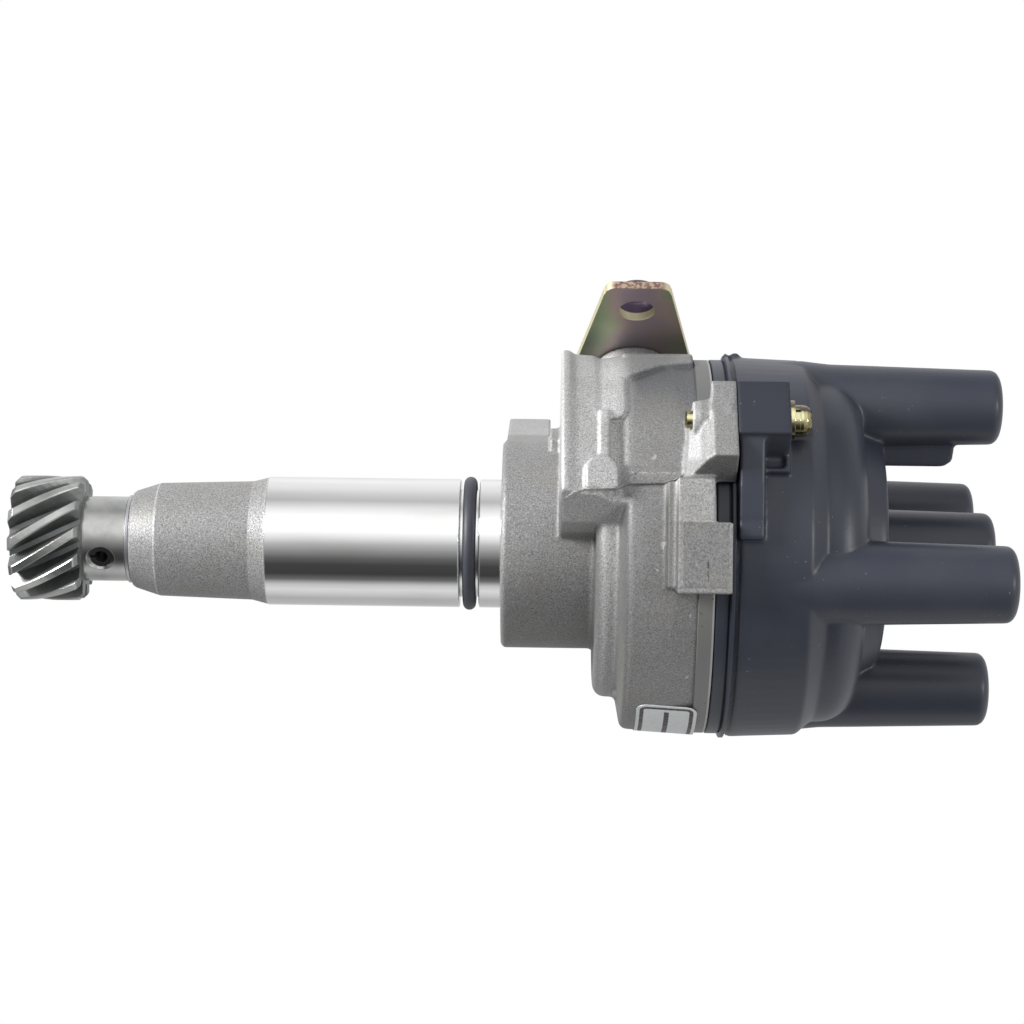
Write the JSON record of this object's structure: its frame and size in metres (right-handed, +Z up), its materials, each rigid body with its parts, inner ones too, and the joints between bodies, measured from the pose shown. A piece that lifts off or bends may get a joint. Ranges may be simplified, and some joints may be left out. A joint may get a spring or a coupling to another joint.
{
  "type": "ignition distributor",
  "caption": "Gear-driven ignition distributor: ground pilot with O-ring, cast aluminium bowl with hold-down ear, and a moulded cap with lead towers round a centre tower.",
  "frame": {"origin": "on the shaft's axis, in the plane of the housing face that seats on the engine block", "axes": "+Z up the shaft from the drive gear to the lead towers; -X towards the side that is up in the picture, -Y towards the camera"},
  "size_m": [0.1055, 0.114, 0.2269],
  "materials": {
    "cast_aluminium": "sand-grey die-cast aluminium, ground bright on the pilot",
    "gear_steel": "oiled machined steel",
    "bearing_steel": "ground bearing steel",
    "spring_steel": "dark tempered spring steel",
    "bearing_bronze": "sintered bronze",
    "black_rubber": "black rubber with a slight sheen",
    "cap_plastic": "black moulded plastic, satin",
    "sensor_plastic": "black glass-filled plastic",
    "rotor_plastic": "red-brown moulded plastic",
    "zinc_plate": "yellow chromate zinc plate",
    "stamped_steel": "stamped sheet steel",
    "contact_metal": "bright aluminium contact",
    "contact_brass": "brass contact",
    "carbon": "pressed carbon"
  },
  "bodies": {
    "housing_body": {"housing": "cast_aluminium", "pilot_o_ring": "black_rubber", "lower_bush": "bearing_bronze", "oil_seal": "black_rubber", "bearing_outer_race": "bearing_steel", "bearing_retainer": "stamped_steel", "retainer_screws": "zinc_plate", "sensor_base_plate": "stamped_steel", "base_plate_screws": "zinc_plate", "optical_sensor": "sensor_plastic", "sensor_screws": "zinc_plate", "dust_shield": "sensor_plastic", "shield_screws": "zinc_plate", "connector_housing": "sensor_plastic", "connector_pins": "contact_brass", "connector_seal": "black_rubber", "connector_screws": "zinc_plate", "cap_gasket": "black_rubber", "cap": "cap_plastic", "outer_terminals": "contact_metal", "centre_terminal": "contact_metal", "brush_spring": "stamped_steel", "cap_screws": "zinc_plate", "cap_spring_washers": "zinc_plate", "cap_flat_washers": "zinc_plate", "wire_bracket": "zinc_plate", "bracket_bolt": "zinc_plate", "bracket_spring_washer": "zinc_plate"},
    "shaft_body": {"shaft": "gear_steel", "drive_gear": "gear_steel", "gear_pin": "spring_steel", "thrust_washer": "bearing_bronze", "bearing_inner_race": "bearing_steel", "snap_ring": "spring_steel", "disc_hub": "stamped_steel", "slotted_disc": "stamped_steel", "disc_clamp_ring": "stamped_steel", "rotor": "rotor_plastic", "rotor_electrode": "contact_brass", "rotor_screw": "zinc_plate"},
    "cage_body": {"bearing_cage": "bearing_bronze", "bearing_balls": "bearing_steel"},
    "brush_body": {"carbon_brush": "carbon"}
  },
  "joints": [
    {"name": "shaft_spin", "type": "hinge", "parent": "housing_body", "child": "shaft_body", "pos_m": [0, 0, 0], "axis": [0, 0, 1], "continuous": true},
    {"name": "cage_spin", "type": "hinge", "parent": "housing_body", "child": "cage_body", "pos_m": [0, 0, 0], "axis": [0, 0, 1], "continuous": true},
    {"name": "brush_slide", "type": "slide", "parent": "housing_body", "child": "brush_body", "axis": [0, 0, 1], "range_m": [0, 0.0015], "stiffness_N_per_m": 300, "springref_m": -0.003, "deforming": ["brush_spring"]}
  ],
  "couplings": [
    {"joint": "cage_spin", "follows": "shaft_spin", "ratio": 0.36477}
  ]
}
